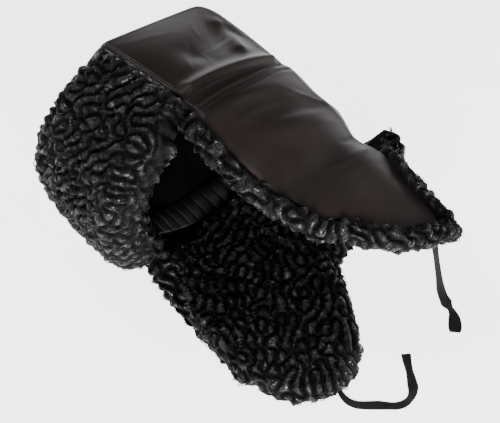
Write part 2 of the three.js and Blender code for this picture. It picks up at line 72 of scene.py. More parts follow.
# Materials
class Link:  # a socket whose sums add Math nodes
    def __init__(self, shader, socket):
        self.shader, self.socket = shader, socket

    def math(self, operation, *others):
        values = {i: v for i, v in enumerate((self, *others))}
        return self.shader.node("ShaderNodeMath", {"operation": operation}, values)

    def __add__(self, other):
        return self.math("ADD", other)

    def __mul__(self, other):
        return self.math("MULTIPLY", other)

    def __sub__(self, other):
        return self.math("SUBTRACT", other)

    def __rsub__(self, other):
        return (self * -1) + other

    __radd__ = __add__
    __rmul__ = __mul__

    def between(self, low, high):  # 0 at low, 1 at high, smooth
        settings = {"interpolation_type": "SMOOTHSTEP"}
        return self.shader.node("ShaderNodeMapRange", settings, {0: self, 1: low, 2: high})


class Shader:  # one material; node() adds any node to it
    def __init__(self, name):
        self.material = bpy.data.materials.new(name)
        self.material.use_nodes = True
        self.tree = self.material.node_tree
        self.tree.nodes.clear()

    def node(self, kind, settings=None, inputs=None, outlet=0):
        made = self.tree.nodes.new(kind)
        for key, value in (settings or {}).items():
            setattr(made, key, value)
        for key, value in (inputs or {}).items():
            if isinstance(value, Link):
                self.tree.links.new(value.socket, made.inputs[key])
            else:
                made.inputs[key].default_value = value
        return Link(self, made.outputs[outlet]) if len(made.outputs) else made

    def place(self):
        return self.node("ShaderNodeTexCoord", outlet="Object")

    def attribute(self, name, outlet="Vector"):
        return self.node("ShaderNodeAttribute", {"attribute_name": name}, outlet=outlet)

    def noise(self, vector, scale, detail=2.0, roughness=0.5, distortion=0.0):
        values = {"Vector": vector, "Scale": scale, "Detail": detail, "Roughness": roughness}
        values["Distortion"] = distortion
        return self.node("ShaderNodeTexNoise", {}, values)

    def mixColour(self, factor, first, second):
        settings = {"data_type": "RGBA"}
        return self.node("ShaderNodeMix", settings, {0: factor, 6: first, 7: second}, outlet=2)

    def bump(self, height, distance, strength=1.0):
        values = {"Height": height, "Distance": distance, "Strength": strength}
        return self.node("ShaderNodeBump", {}, values)

    def surface(self, values):
        shader = self.node("ShaderNodeBsdfPrincipled", {}, values)
        self.node("ShaderNodeOutputMaterial", {}, {"Surface": shader})
        return self.material


def rgb(r, g, b):
    return (r, g, b, 1)


leatherLook = {
    "dark": rgb(0.009, 0.006, 0.0055), "light": rgb(0.0145, 0.009, 0.008), "roughness": 0.47,
    "patches": 22, "grain": 900, "grainDepth": 0.00012, "crease": 70, "specular": 0.17,
}


def leatherMaterial(name, values):
    s = Shader(name)
    place = s.place()
    patches = s.noise(place, values["patches"], 3, 0.55, 0.6)
    grain = {"Vector": place, "Scale": values["grain"]}
    cells = s.node("ShaderNodeTexVoronoi", {"feature": "F1"}, grain)
    veins = s.noise(place, values["crease"], 4, 0.6, 1.2)
    colour = s.mixColour(patches.between(0.35, 0.68), values["dark"], values["light"])
    dull = patches * 0.16 + veins * 0.1 + (values["roughness"] - 0.13)
    height = cells * 0.5 + veins * 1.2
    return s.surface({
        "Base Color": colour, "Roughness": dull, "Normal": s.bump(height, values["grainDepth"], 0.6),
        "Specular IOR Level": values["specular"],
    })


# Fur colours: the first is the painted shade in the ropes' valleys and at the hairs' ends, the second
# the painted highlight on the crests; brown tints the painted highlight
furLook = {
    "root": rgb(0.0006, 0.0005, 0.0005), "crestHighlight": rgb(0.06, 0.057, 0.058),
    "brown": rgb(0.03, 0.022, 0.016), "roughness": 0.5, "hairDepth": 0.0011, "strands": 0.95,
    "specular": 0.12, "coatRoughness": 0.25, "coatIor": 1.8,
}


def furMaterial(name, values):
    s = Shader(name)
    hair = s.attribute("hair")  # changes little along a hair
    # tone is painted light: high on the ropes' crests and the hairs' middles, low in the valleys and at
    # the hairs' ends
    tone = s.attribute("tone", "Fac")
    strands = s.noise(hair, values["strands"], 2, 0.6)
    lit = tone.between(0.1, 0.95) * (strands.between(0.38, 0.66) * 0.9 + 0.1)
    body = s.mixColour(lit, values["root"], values["crestHighlight"])
    warm = s.noise(s.place(), 60, 1)
    # a warm brown only on the painted highlight
    colour = s.mixColour(warm.between(0.5, 0.75) * lit * 0.6, body, values["brown"])
    dull = strands * -0.3 + (values["roughness"] + 0.15)
    glint = tone.between(0.2, 0.7) * strands.between(0.42, 0.6)
    bumps = s.bump(strands, values["hairDepth"], 0.9)
    return s.surface({
        "Base Color": colour, "Roughness": dull, "Normal": bumps,
        "Specular IOR Level": values["specular"], "Coat Weight": glint,
        "Coat Roughness": values["coatRoughness"], "Coat IOR": values["coatIor"],
    })


clothLook = {
    "colour": rgb(0.022, 0.0212, 0.023), "roughness": 0.45, "thread": 1700, "threadDepth": 0.00015,
    "lighter": 2.2, "specular": 0.3, "fold": None,
}


def clothMaterial(name, values):
    s = Shader(name)
    place = s.place()
    wave = s.node("ShaderNodeTexWave", {"wave_type": "BANDS", "bands_direction": "DIAGONAL"},
                  {"Vector": place, "Scale": values["thread"], "Distortion": 1.5})
    spots = s.noise(place, 90, 3, 0.6)
    light = rgb(*(c * values["lighter"] for c in values["colour"][:3]))
    colour = s.mixColour(spots.between(0.35, 0.7) * 0.6 + wave * 0.3, values["colour"], light)
    # fold is a painted shade: this dark colour goes where the points' tone is 0, between the
    # sweatband's pleats and towards the crown
    if values["fold"]:  # this colour where the points' tone is 0
        colour = s.mixColour(s.attribute("tone", "Fac"), values["fold"], colour)
    return s.surface({
        "Base Color": colour, "Roughness": spots * 0.2 + (values["roughness"] - 0.1),
        "Normal": s.bump(wave + spots * 2, values["threadDepth"], 0.6),
        "Specular IOR Level": values["specular"],
    })


crownLeather = leatherMaterial("crown leather", leatherLook)
flapLeather = leatherMaterial("flap leather", dict(leatherLook, roughness=0.5))
furHair = furMaterial("karakul", furLook)
# the sweatband's fold colour is painted shade
bandLook = dict(clothLook, colour=rgb(0.027, 0.025, 0.026), fold=rgb(0.0012, 0.0011, 0.0012))
liningLook = dict(clothLook, colour=rgb(0.0016, 0.0015, 0.0015), roughness=0.8, specular=0.1)
ribbonLook = dict(clothLook, colour=rgb(0.007, 0.0068, 0.0078), roughness=0.8, specular=0.2)
bandCloth = clothMaterial("sweatband cloth", bandLook)
liningCloth = clothMaterial("lining", liningLook)
ribbonCloth = clothMaterial("ribbon", ribbonLook)
threadCloth = clothMaterial("thread", dict(clothLook, colour=rgb(0.085, 0.078, 0.072)))
print("materials made")


# Meshes
lowest = 0.00005  # metres, just clear of the table


def makeObject(name, points, faces, material, attributes=None, sharp=55, lined=None):
    data = bpy.data.meshes.new(name)
    points = np.asarray(points, float) * mm
    points[:, 2] = np.maximum(points[:, 2], lowest)
    data.from_pydata(points.tolist(), [], faces if isinstance(faces, list) else faces.tolist())
    data.polygons.foreach_set("use_smooth", [True] * len(data.polygons))
    for key, values in (attributes or {}).items():
        values = np.asarray(values, float)
        kind = "FLOAT_VECTOR" if values.ndim == 2 else "FLOAT"
        layer = data.attributes.new(key, kind, "POINT")
        layer.data.foreach_set("vector" if values.ndim == 2 else "value", values.ravel())
    if sharp:
        data.set_sharp_from_angle(angle=math.radians(sharp))
    data.materials.append(material)
    if lined is not None:  # these faces have the lining
        data.materials.append(liningCloth)
        index = np.zeros(len(data.polygons), int)
        index[lined] = 1
        data.polygons.foreach_set("material_index", index)
    made = bpy.data.objects.new(name, data)
    bpy.context.scene.collection.objects.link(made)
    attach(made, "root")
    return made


def grid(a, b):
    return np.meshgrid(a, b, indexing="ij")


def cells(columns, rows):
    # the column and the row of each cell of a grid
    c, r = grid(np.arange(columns), np.arange(rows))
    return c.ravel(), r.ravel()


def shell(outer, inner, ring=False):
    # a closed body between two faces over the same grid of columns and rows
    nc, nr = outer.shape[:2]
    points = np.concatenate([outer.reshape(-1, 3), inner.reshape(-1, 3)])
    faces = []
    spans = nc if ring else nc - 1

    def add(*corners):
        quads = [face * nc * nr + column * nr + row for face, column, row in corners]
        faces.append(np.stack(quads, 1))

    c, r = cells(spans, nr - 1)
    d = (c + 1) % nc
    add((0, c, r), (0, d, r), (0, d, r + 1), (0, c, r + 1))
    add((1, c, r), (1, c, r + 1), (1, d, r + 1), (1, d, r))
    c = np.arange(spans)
    d = (c + 1) % nc
    end = nr - 1
    add((0, c, 0), (1, c, 0), (1, d, 0), (0, d, 0))
    add((0, c, end), (0, d, end), (1, d, end), (1, c, end))
    if not ring:
        r = np.arange(nr - 1)
        last = nc - 1
        add((0, 0, r), (0, 0, r + 1), (1, 0, r + 1), (1, 0, r))
        add((0, last, r), (1, last, r), (1, last, r + 1), (0, last, r + 1))
    faces = np.concatenate(faces)
    if enclosed(points, faces) < 0:
        faces = faces[:, ::-1]
    return points, faces


def insideFaces(outer):
    # which of an open shell's faces are on its inside
    one = (outer.shape[0] - 1) * (outer.shape[1] - 1)
    return slice(one, 2 * one)


def enclosed(points, faces):
    # six times the volume, below 0 where the faces are wound inwards
    a, b, c, d = (points[faces[:, k]] for k in range(4))
    one = np.einsum("ij,ij->i", a, np.cross(b, c))
    return (one + np.einsum("ij,ij->i", a, np.cross(c, d))).sum()


# The hat's surfaces
lie = {"rollBack": 19, "crownRaise": 3, "axisHeight": 86, "softness": 6, "middle": (36.984, -6.813)}
crown = {
    "frontHeight": 110, "backHeight": 123, "seamSpacing": 114, "topSpacing": 130, "width": 150,
    "topWidth": 126, "bulge": 49, "sideBulge": 10, "frontRadius": 11, "backRadius": 22,
    "leather": 2, "foldDepth": 6, "gap": 0.3,
}
flaps = {
    "seamHeight": 3, "seamRise": 8, "seamLift": 3, "puff": 8, "puffLength": 17, "earShare": 0.66,
    "earLength": 208, "trimWidth": 18, "trimHeight": 6, "frontTrim": 15, "farTrim": 6,
    "cornerPull": 6, "cornerReach": 34, "neckRollWidth": 32, "neckRollHeight": 29,
    "neckWool": 2.5, "liningTop": 2.0, "furDepth": 14, "jointDepth": 0.25, "jointGap": 1.8,
    "lockHeight": 5, "lockSize": 17,
}

# How far the strip stands out from its seams, along the seam from the front foot to the back foot
stripStations = {
    "along": [0, 0.16, 0.26, 0.34, 0.42, 0.5, 0.6, 0.68, 0.78, 0.88, 1],
    "ahead": [1, 0.92, 0.66, 0.3, 0.08, 0, -0.22, -0.6, -0.88, -0.97, -1],
    "up": [0, 0, 0.04, 0.12, 0.17, 0.18, 0.15, 0.07, 0, 0, 0],
}
# Which way the flaps hang for each step down, at the rim and at their end
hangStations = {
    "along": [0, 0.16, 0.28, 0.4, 0.56, 0.7, 0.84, 1],
    "ahead": [-0.08, -0.1, 0.04, 0.16, 0.08, 0.02, -0.04, -0.2],
    "left": [-0.34, -0.18, -0.1, 0, 0, 0, -0.25, -0.6],
    "aheadEnd": [-0.55, -0.64, -0.52, 0.06, 0.06, 0.17, 0.23, 0.22],
    "leftEnd": [-0.28, -0.36, -0.34, -0.04, 0, 0, 0, 0],
}
# How far down the flaps reach, from the front edge to the middle of the back
reachStations = {
    "along": [0, 0.06, 0.15, 0.27, 0.39, 0.49, 0.58, 0.65, 0.74, 1],
    "reach": [0.77, 0.865, 0.955, 1.005, 1.01, 0.92, 0.71, 0.56, 0.51, 0.51],
}
# Folds: both ends in shares, height as a share of foldDepth, half width in shares
flapFolds = [
    (0.03, 0.1, 0.2, 0.2, -0.5, 0.07),
    (0.06, 0.3, 0.3, 0.22, 0.55, 0.08),
    (0.08, 0.45, 0.33, 0.38, -0.6, 0.09),
    (0.1, 0.66, 0.26, 0.5, 0.5, 0.08),
    (0.72, 0.4, 0.9, 0.3, 0.4, 0.09),
]
crownFolds = [
    (0, 0.16, 1, 0.14, 1.2, 0.075),
    (0.45, 0.45, 0.85, 0.62, -0.8, 0.14),
    (0.78, 0.36, 0.9, 0.7, 0.5, 0.07),
]


def smooth(x):
    x = np.clip(x, 0, 1)
    return x * x * (3 - 2 * x)


def mix(a, b, t):
    return a + (b - a) * t


def unit(ways):
    return ways / np.maximum(np.linalg.norm(ways, axis=-1, keepdims=True), 1e-9)


def pair(a, b):
    # both as numbers over the same grid
    return (v.astype(float) for v in np.broadcast_arrays(a, b))


def curve(a, b, c, d, t):
    # from b at 0 to c at 1, smooth with its neighbours a and d
    return b + 0.5 * t * (c - a + t * (2 * a - 5 * b + 4 * c - d + t * (3 * (b - c) + d - a)))


def fromTable(rows, column, along):
    places, values = np.array(rows["along"], float), np.array(rows[column], float)
    along = np.asarray(along, float)
    last = len(places) - 1
    i = np.clip(np.searchsorted(places, along, side="right") - 1, 0, last - 1)
    t = np.clip((along - places[i]) / (places[i + 1] - places[i]), 0, 1)
    return curve(*(values[np.clip(i + k, 0, last)] for k in (-1, 0, 1, 2)), t)


def foldHeight(rows, x, y, depth=crown["foldDepth"], stretch=1, ends=1):
    # ends is the share of its height that a fold keeps at its two ends
    total = np.zeros(np.broadcast(x, y).shape)
    for ax, ay, bx, by, height, halfWidth in rows:
        t = ((x - ax) * (bx - ax) + (y - ay) * (by - ay)) / ((bx - ax) ** 2 + (by - ay) ** 2)
        t = np.clip(t, 0, 1)
        away = np.hypot((x - mix(ax, bx, t)) * stretch, y - mix(ay, by, t)) / halfWidth
        total += depth * height * np.exp(-away * away) * mix(ends, 1, np.sin(math.pi * t))
    return total


def stack(x, y, z):
    return np.stack(np.broadcast_arrays(x, y, z), -1).astype(float)


layTurn = np.array(
    Matrix.Rotation(math.radians(lie["crownRaise"]), 3, "Y")
    @ Matrix.Rotation(math.radians(-lie["rollBack"]), 3, "X")
    @ Matrix(((0, 0, -1), (-1, 0, 0), (0, 1, 0)))
)


def settle(points, under=0):
    laid = points @ layTurn.T
    soft = lie["softness"]
    above = np.maximum(laid[..., 2] + lie["axisHeight"] - under, -soft)
    laid[..., 2] = under + np.where(above < soft, (above + soft) ** 2 / (4 * soft), above)
    laid[..., 0] -= lie["middle"][0]
    laid[..., 1] -= lie["middle"][1]
    return laid


class Route:  # a line through points, by its length
    def __init__(self, points):
        self.points = np.asarray(points, float)
        steps = np.linalg.norm(np.diff(self.points, axis=0), axis=1)
        self.places = np.concatenate([[0], np.cumsum(steps)])
        self.length = self.places[-1]

    def at(self, distance):
        return np.stack([np.interp(distance, self.places, axis) for axis in self.points.T], -1)


def rounded(points, count=12):
    # a smooth line through the points
    points = np.asarray(points, float)
    made = []
    last = len(points) - 1
    for i in range(last):
        near = [points[min(max(i + k, 0), last)] for k in (-1, 0, 1, 2)]
        made += [curve(*near, t) for t in np.arange(count) / count]
    return np.array(made + [points[last]])


def makeSeamRoute():
    foot, top = crown["seamSpacing"] / 2, crown["topSpacing"] / 2
    corners = [(foot, 0), (top, crown["frontHeight"]), (-top, crown["backHeight"]), (-foot, 0)]
    corners = [np.array(c, float) for c in corners]
    line = [corners[0]]
    for k, radius in ((1, crown["frontRadius"]), (2, crown["backRadius"])):
        before, corner, after = corners[k - 1:k + 2]
        start = corner + radius * (before - corner) / np.linalg.norm(before - corner)
        end = corner + radius * (after - corner) / np.linalg.norm(after - corner)
        for t in np.linspace(0, 1, 33):
            line.append((1 - t) ** 2 * start + 2 * t * (1 - t) * corner + t * t * end)
    return Route(line + [corners[3]])


seamRoute = makeSeamRoute()
frontCorner = crown["frontHeight"] / seamRoute.length
backCorner = 1 - crown["backHeight"] / seamRoute.length
allowanceTop = flaps["seamHeight"] + flaps["seamRise"]


def seamAt(along):
    inside = np.clip(along, 0, 1)
    point = seamRoute.at(inside * seamRoute.length)
    small = 1e-3
    ahead = seamRoute.at(np.minimum(inside + small, 1) * seamRoute.length)
    behind = seamRoute.at(np.maximum(inside - small, 0) * seamRoute.length)
    return point + unit(ahead - behind) * ((along - inside) * seamRoute.length)[..., None]


def seamHalfWidth(z):
    share = np.maximum(z / crown["frontHeight"], 0) ** 1.5
    return mix(crown["width"] / 2, crown["topWidth"] / 2, share)


def stripPoint(along, across):
    along, across = np.broadcast_arrays(along, across)
    seam = seamAt(along.astype(float))
    bulge = crown["bulge"] * (1 - across * across)
    return stack(
        seam[..., 0] + bulge * fromTable(stripStations, "ahead", along),
        seamHalfWidth(seam[..., 1]) * across,
        seam[..., 1] + bulge * fromTable(stripStations, "up", along),
    )


def sidePoint(across, rise, side):
    across, rise = pair(across, rise)
    front, back = seamAt(frontCorner * rise), seamAt(1 - (1 - backCorner) * rise)
    top = seamAt(mix(frontCorner, backCorner, across))
    half = crown["seamSpacing"] / 2
    foot = mix(half, -half, across)
    frontTop, backTop = seamAt(np.array(frontCorner)), seamAt(np.array(backCorner))

    def blend(axis, footHere):
        ruledAcross = mix(front[..., axis], back[..., axis], across)
        ruledUp = mix(footHere, top[..., axis], rise)
        return ruledAcross + ruledUp - mix(footHere, mix(frontTop[axis], backTop[axis], across), rise)

    x, z = blend(0, foot), blend(1, np.zeros_like(foot))
    bulge = 4 * crown["sideBulge"] * across * (1 - across) * (1 - np.maximum(rise, 0) ** 2.5)
    clear = smooth((z - allowanceTop) / (2 * flaps["seamHeight"]))
    inside = np.minimum(1, 12 * across * (1 - across)) * np.minimum(1, 6 * (1 - rise)) * clear
    fold = foldHeight(crownFolds, across, rise)
    return stack(x, side * (seamHalfWidth(z) + bulge + fold * inside), z)


def underCrown(z):
    lift = flaps["seamLift"] + crown["gap"]
    return lift * (1 - smooth((z - allowanceTop) / (2 * flaps["seamHeight"])))


def laidStrip(along, across):
    point = stripPoint(along, across)
    return settle(point, underCrown(point[..., 2]))


def laidSide(side):
    def laid(across, rise):
        point = sidePoint(across, rise, side)
        return settle(point, underCrown(point[..., 2]))
    return laid


def withOut(surface, a, b, turn, stepA=0.004, stepB=0.004):
    # points of a surface and the way out of it, the steps being shares or millimetres as a and b are
    a, b = pair(a, b)
    alongA = surface(a + stepA, b) - surface(a - stepA, b)
    alongB = surface(a, b + stepB) - surface(a, b - stepB)
    return surface(a, b), unit(np.cross(alongA, alongB) * turn)


def makeRim():
    n, lead, count = 24, 2, 12  # points on each side, points before the start, places in each step
    half, wide = crown["seamSpacing"] / 2, crown["width"] / 2
    line = []
    for k in range(4 * n):
        s = (k % n) / n
        hump = 4 * s * (1 - s)
        if k < n:
            line.append((mix(half, -half, s), wide + hump * crown["sideBulge"]))
        elif k < 2 * n:
            line.append((-half - hump * crown["bulge"], wide * (1 - 2 * s)))
        elif k < 3 * n:
            line.append((mix(-half, half, s), -wide - hump * crown["sideBulge"]))
        else:
            line.append((half + hump * crown["bulge"], wide * (2 * s - 1)))
    whole = Route(rounded(line[-lead:] + line + line[:lead + 1], count))
    start, back, end = (whole.places[(lead + k * n) * count] for k in (0, 3, 4))
    return whole, start, end - start, back - start


rimRoute, rimStart, rimLength, backLength = makeRim()


def rimAt(distance):
    where = rimStart + np.mod(distance, rimLength)
    flat = rimRoute.at(where)
    way = unit(rimRoute.at(where + 0.4) - rimRoute.at(where - 0.4))
    zero = np.zeros_like(flat[..., 0])
    return stack(flat[..., 0], flat[..., 1], zero), stack(way[..., 1], -way[..., 0], zero)


def fromFront(distance):
    return np.minimum(distance, backLength - distance)


earWidth = flaps["earShare"] * backLength / 2


def intoNeck(distance):
    return np.maximum(fromFront(distance) - earWidth, 0)


def neckShare(distance):
    return smooth(intoNeck(distance) / (0.2 * earWidth))


def roundShare(e):
    return np.sqrt(np.maximum(1 - e * e, 0))


def edgeWidth(distance):
    return mix(flaps["trimWidth"], flaps["neckRollWidth"], neckShare(distance))


def seamUp(distance):
    return flaps["seamHeight"] + flaps["seamRise"] * smooth(fromFront(distance) / earWidth)


def flapLength(distance):
    corner = np.maximum(-fromFront(distance) / flaps["frontTrim"], 0)
    reach = fromTable(reachStations, "reach", 2 * fromFront(distance) / backLength)
    return flaps["earLength"] * reach - flaps["frontTrim"] * corner ** 2


def leatherLength(distance):
    width = edgeWidth(distance)
    least = np.full(np.shape(distance), np.inf)
    for turn in np.arange(-6, 7) * math.pi / 12:  # the trim's width away, all ways
        there = np.clip(distance + width * math.sin(turn), 0, backLength)
        least = np.minimum(least, flapLength(there) - width * math.cos(turn))
    return least


def flapPoint(distance, down):
    distance, down = pair(distance, down)
    along = distance / backLength
    point, out = rimAt(distance)
    above = down <= 0
    length = flapLength(distance)
    walk = np.maximum(down, 0)
    steps = 16
    hang = {key: fromTable(hangStations, key, along) for key in hangStations if key != "along"}
    hung = point.copy()
    for k in range(steps):
        share = (k + 0.5) / steps * walk / length
        ahead, left = (mix(hang[key], hang[key + "End"], share) for key in ("ahead", "left"))
        hung += unit(stack(ahead, left, -1.0)) * (walk / steps)[..., None]
    fold = foldHeight(flapFolds, along, walk / flaps["earLength"])
    earHere = 1 - smooth(fromFront(distance) / (0.9 * earWidth))
    ramp = smooth(walk / flaps["puffLength"])
    stand = flaps["seamLift"] + (flaps["puff"] * earHere + fold) * ramp
    hung += out * stand[..., None]
    rising = point + out * flaps["seamLift"] + stack(0, 0, -np.minimum(down, 0))
    return settle(np.where(above[..., None], rising, hung))


def insideDown(distance, share):
    return mix(flaps["liningTop"], leatherLength(distance), share)


def onFlap(distance, row, down):
    # near the flaps' round front corners the places move in from the front edge
    near = np.maximum(1 - fromFront(distance) / flaps["cornerReach"], 0)
    inward = flaps["cornerPull"] * near * smooth((row - 0.55) / 0.5)
    there = np.where(distance < backLength / 2, distance + inward, distance - inward)
    return withOut(flapPoint, there, down, -1, 4, 0.5)


def curls(x, y):
    a, b = math.pi * x / flaps["lockSize"], math.pi * y / flaps["lockSize"]
    bent = np.sin(a + 1.3 * np.sin(0.7 * b + 0.4)) * np.sin(b + 1.4 * np.sin(0.8 * a))
    return np.sqrt(np.abs(bent))


print("surfaces ready")


# Ties, in millimetres on the table: places picked by hand in the photo, which a scratch script put on
# the table, spaced evenly and smoothed
ribbon = {"width": 7.5, "thickness": 1.2, "centres": 90, "steepEnd": 40, "steep": 0.02}
tieLeft = [
    (131.9, 96.8, 75.5), (134.2, 96.5, 68.5), (136.7, 96.2, 61.4), (139.1, 95.8, 54.2),
    (141.5, 95.5, 47.1), (143.9, 95.1, 39.9), (146.3, 94.8, 32.8), (148.8, 94.5, 25.6),
    (151.2, 94.1, 18.5), (153.8, 93.8, 11.4), (158.1, 93.0, 5.3), (164.5, 91.8, 1.7),
    (171.8, 90.0, 0.8), (178.6, 86.8, 0.8), (184.4, 82.0, 0.8), (189.7, 76.6, 0.8),
]
tieRight = [
    (165.1, -37.0, 0.8), (171.5, -38.4, 0.8), (177.9, -38.2, 0.8), (183.8, -35.7, 0.8),
    (188.6, -31.4, 0.8), (193.0, -26.4, 0.8), (197.2, -21.5, 0.8), (201.7, -16.9, 0.8),
    (206.2, -12.3, 0.8), (209.4, -6.5, 0.8), (210.1, -0.1, 0.8), (208.2, 6.0, 0.8),
    (204.3, 11.1, 0.8), (198.9, 15.0, 0.8), (193.5, 18.6, 0.8), (188.0, 22.0, 0.8),
    (182.7, 25.5, 0.8), (177.3, 29.5, 0.8),
]


def tiePath(points):
    dense = Route(rounded(points, 24))
    return dense.at(np.linspace(0, dense.length, ribbon["centres"])), dense.length


def makeTie(name, node, points, widths, rolls):
    # widths and rolls are tables over the ribbon's length: share of its width, and its turn
    centres, length = tiePath(points)
    n = len(centres)
    share = np.linspace(0, 1, n)
    way = unit(np.gradient(centres, axis=0))
    side = np.cross([0, 0, 1.0], way)
    first = side[:ribbon["steepEnd"]]  # upright places take the side of a place further on
    level = np.linalg.norm(first, axis=1, keepdims=True) > ribbon["steep"]
    side[:ribbon["steepEnd"]] = np.where(level, first, side[ribbon["steepEnd"]])
    side = unit(side)
    up = np.cross(way, side)
    wide = ribbon["width"] / 2 * np.interp(share, *zip(*widths))
    roll = np.radians(np.interp(share, *zip(*rolls)))
    a = side * np.cos(roll)[:, None] + up * np.sin(roll)[:, None]
    b = up * np.cos(roll)[:, None] - side * np.sin(roll)[:, None]
    upper = [(-1, 0), (-0.94, 0.5), (-0.5, 0.55), (0, 0.5), (0.5, 0.55), (0.94, 0.5)]
    section = upper + [(-x, -y) for x, y in upper]
    rings = []
    for x, y in section:
        rings.append(centres + a * (wide * x)[:, None] + b * (ribbon["thickness"] * y))
    points = np.stack(rings, 1).reshape(-1, 3)
    m = len(section)
    faces = [[i * m + k, i * m + (k + 1) % m, (i + 1) * m + (k + 1) % m, (i + 1) * m + k]
             for i in range(n - 1) for k in range(m)]
    faces += [list(range(m))[::-1], [(n - 1) * m + k for k in range(m)]]
    made = makeObject(name, points, faces, ribbonCloth)
    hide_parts(node)
    [v * mm for v in centres[0]]
    length * mm
    (centres * mm).tolist()


leftWidths = [
    (0, 0.8), (0.5, 0.8), (0.6, 1.1), (0.68, 1.2), (0.733, 1.35), (0.79, 0.75), (0.83, 0.95),
    (0.867, 1.35), (0.933, 1.6), (0.97, 1.55), (1, 1.3),
]
leftRolls = [(0, 0), (0.12, 10), (0.3, -14), (0.5, 8), (0.7, 0), (0.79, 50), (0.86, 0), (1, 0)]
rightWidths = [
    (0, 0.6), (0.1, 0.8), (0.25, 1.0), (0.35, 1.15), (0.5, 0.95), (0.6, 0.8), (0.72, 1.25),
    (0.85, 0.85), (1, 1.15),
]
rightRolls = [(0, 0), (0.15, 18), (0.3, 0), (0.45, -15), (0.6, 25), (0.72, 0), (1, 0)]
makeTie("tieLeft", "tie_left", tieLeft, leftWidths, leftRolls)
makeTie("tieRight", "tie_right", tieRight, rightWidths, rightRolls)
print("ties made")


# Leather
def edgeRoll(distance, radius):
    # how far a turned-in edge drops away from the face, at a distance from the edge
    short = np.clip(1 - distance / radius, 0, 1)
    return radius * (1 - np.sqrt(1 - short * short))


leatherForm = {
    "columns": 90, "rows": 80, "stripRows": 56, "stripColumns": (60, 70, 60), "flapColumns": 220,
    "upperRows": 12, "lowerRows": 100, "rowCrowding": 1.35, "seamRound": 1.7, "topRound": 3.0,
    "topDrop": 1.9, "endRound": 1.8, "farSide": 0.6,
}

# Creases of the leather: both ends in shares, the height in millimetres, the half width in shares
panelCreases = [
    (0.1, 0.9, 0.55, 0.72, 0.2, 0.03), (0.62, 0.3, 0.9, 0.42, -0.3, 0.014),
    (0.5, 0.42, 0.86, 0.5, 0.25, 0.016), (0.66, 0.5, 0.94, 0.58, -0.25, 0.014),
    (0.72, 0.26, 0.84, 0.5, 0.22, 0.011), (0.84, 0.5, 0.97, 0.36, 0.2, 0.011),
    (0.3, 0.35, 0.5, 0.6, -0.25, 0.025), (0.2, 0.25, 0.34, 0.5, 0.2, 0.02),
    (0.4, 0.2, 0.46, 0.46, 0.22, 0.012), (0.46, 0.46, 0.56, 0.52, 0.2, 0.012),
    (0.56, 0.16, 0.84, 0.22, 0.22, 0.01), (0.6, 0.1, 0.88, 0.14, -0.2, 0.01),
    (0.62, 0.6, 0.72, 0.84, 0.2, 0.014), (0.74, 0.64, 0.9, 0.8, 0.18, 0.012),
]


def panelCrease(across, rise):
    # the creases wave a little on their way
    x = across + 0.02 * np.sin(9 * rise + 1) + 0.01 * np.sin(23 * across)
    y = rise + 0.02 * np.sin(11 * across) + 0.008 * np.sin(31 * across + 2)
    return foldHeight(panelCreases, x, y, 1, 1, 0.35)


def makePanel(name, node, side):
    ticks = (np.linspace(0, 1, leatherForm[key]) for key in ("columns", "rows"))
    across, rise = grid(*ticks)
    edge = crown["gap"] / crown["seamSpacing"]
    a, r = mix(edge, 1 - edge, across), mix(0, 1 - edge, rise)
    point, out = withOut(laidSide(side), a, r, side)
    wide, high = crown["seamSpacing"], crown["frontHeight"]
    toSeam = np.minimum(np.minimum(across, 1 - across) * wide, (1 - rise) * high)
    drop = edgeRoll(toSeam, leatherForm["seamRound"])
    calm = smooth(toSeam / 12) * smooth(rise * high / 10)
    if side > 0:
        crease = panelCrease(across, rise) * calm
    else:
        crease = panelCrease(1 - across, rise) * calm * leatherForm["farSide"]
    outer = point + out * (crease - drop)[..., None]
    inner = point - out * crown["leather"]
    points, faces = shell(outer, inner)
    lined = insideFaces(outer)
    made = makeObject(name, points, faces, crownLeather, lined=lined)
    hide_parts(node)


def makeStrip():
    front, top, back = leatherForm["stripColumns"]
    columns = np.concatenate([
        np.linspace(0, frontCorner, front), np.linspace(frontCorner, backCorner, top)[1:],
        np.linspace(backCorner, 1, back)[1:],
    ])
    along, across = grid(columns, np.linspace(-1, 1, leatherForm["stripRows"]))
    point, out = withOut(laidStrip, along, across, -1)
    toSeam = (1 - np.abs(across)) * crown["width"] / 2
    drop = edgeRoll(toSeam, leatherForm["seamRound"])
    wave = 0.5 * np.sin(38 * along + 3 * across) * np.sin(5 * across + 14 * along)
    wave += 0.35 * np.sin(70 * along + 6 * across * across)
    calm = smooth(toSeam / 14) * smooth(along / 0.05) * smooth((1 - along) / 0.05)
    outer = point + out * (wave * calm - drop)[..., None]
    points, faces = shell(outer, point - out * crown["leather"])
    lined = insideFaces(outer)
    made = makeObject("crownStrip", points, faces, crownLeather, lined=lined)
    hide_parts("crown_strip")


makePanel("crownLeft", "crown_left", 1)
makePanel("crownRight", "crown_right", -1)
makeStrip()
print("crown made")

# Drape lines of the flaps' leather, as the creases above: places in shares along the rim and down
flapCreases = [
    (0.04, 0.16, 0.27, 0.13, 0.9, 0.02), (0.06, 0.22, 0.3, 0.2, -0.8, 0.022),
    (0.07, 0.33, 0.3, 0.28, 0.9, 0.025), (0.09, 0.42, 0.33, 0.34, -0.9, 0.022),
    (0.1, 0.52, 0.3, 0.44, 0.8, 0.024), (0.12, 0.6, 0.27, 0.54, -0.6, 0.02),
    (0.13, 0.7, 0.24, 0.66, 0.5, 0.02), (0.2, 0.08, 0.34, 0.3, 0.6, 0.018),
    (0.66, 0.2, 0.9, 0.16, 0.7, 0.02), (0.68, 0.4, 0.9, 0.46, -0.7, 0.024),
    (0.4, 0.2, 0.6, 0.16, 0.8, 0.02), (0.42, 0.34, 0.58, 0.38, -0.6, 0.02),
]


# Tight folds where the flap leaves the crown's foot: place below the top edge, half width, height
tightFolds = [(6.5, 1.3, -1.3), (12, 1.5, -0.9)]


def flapCrease(along, down):
    x = along + 0.008 * np.sin(13 * down + 1)
    y = down + 0.012 * np.sin(20 * along) + 0.004 * np.sin(61 * along + 2)
    return foldHeight(flapCreases, x, y, 1, 2, 0.3)


